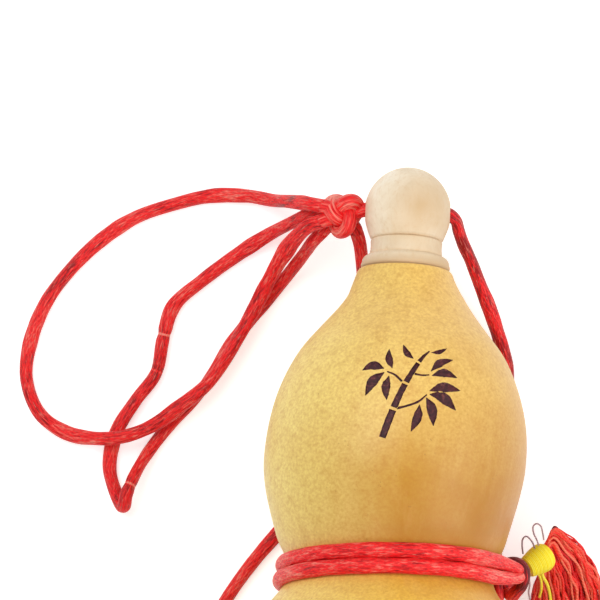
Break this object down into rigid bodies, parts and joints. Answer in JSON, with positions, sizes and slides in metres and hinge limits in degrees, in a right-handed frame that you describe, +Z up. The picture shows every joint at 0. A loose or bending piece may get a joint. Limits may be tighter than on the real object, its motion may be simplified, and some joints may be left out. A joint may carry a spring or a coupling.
{
  "type": "gourd water bottle",
  "caption": "Dried two-bulb gourd bottle lying on its back, with a turned wooden collar and ball stopper, red cord loops, waist cord and tassels.",
  "frame": {"origin": "on the table under the middle of the bottle's length and width, with the cords and tassels left out", "axes": "+Y from the gourd's foot towards the stopper, along the table; +Z up; +X to the right when seen from above with the stopper away from the viewer. The bottle's own axis leans 9.06 degrees down towards the stopper, because both bulbs touch the table."},
  "size_m": [0.1398, 0.1697, 0.0778],
  "materials": {
    "gourd_skin": "satin",
    "turned_wood": "smooth bare wood",
    "cork": "matte",
    "cord": "satin",
    "binding_thread": "soft sheen",
    "tassel_thread": "soft sheen"
  },
  "bodies": {
    "bottle": {"gourd_shell": "gourd_skin", "mouth_collar": "turned_wood", "waist_wrap": "cord", "waist_knot": "cord", "keeper_cord": "cord", "tail_cord": "cord", "lanyard_loop_large": "cord", "lanyard_loop_small": "cord"},
    "stopper": {"stopper": "turned_wood", "stopper_cork": "cork", "stopper_cord": "cord", "neck_knot": "cord"},
    "tassel_right": {"tassel_right_hanger": "cord", "tassel_right_binding": "binding_thread", "tassel_right_skirt": "tassel_thread"},
    "tassel_left": {"tassel_left_hanger": "cord", "tassel_left_binding": "binding_thread", "tassel_left_skirt": "tassel_thread"}
  },
  "joints": [
    {"name": "stopper_pull", "type": "slide", "parent": "bottle", "child": "stopper", "axis": [0, 0.9875, -0.1575], "range_m": [0, 0.022], "deforming": ["lanyard_loop_large", "lanyard_loop_small", "keeper_cord", "tail_cord"]},
    {"name": "tassel_right_swing", "type": "hinge", "parent": "bottle", "child": "tassel_right", "pos_m": [0.02834, -0.00804, 0.02239], "axis": [0, 0, 1], "range_deg": [-10, 30]},
    {"name": "tassel_left_swing", "type": "hinge", "parent": "bottle", "child": "tassel_left", "pos_m": [-0.047, -0.037, 0.0029], "axis": [0, 0, 1], "range_deg": [-30, 30]}
  ]
}
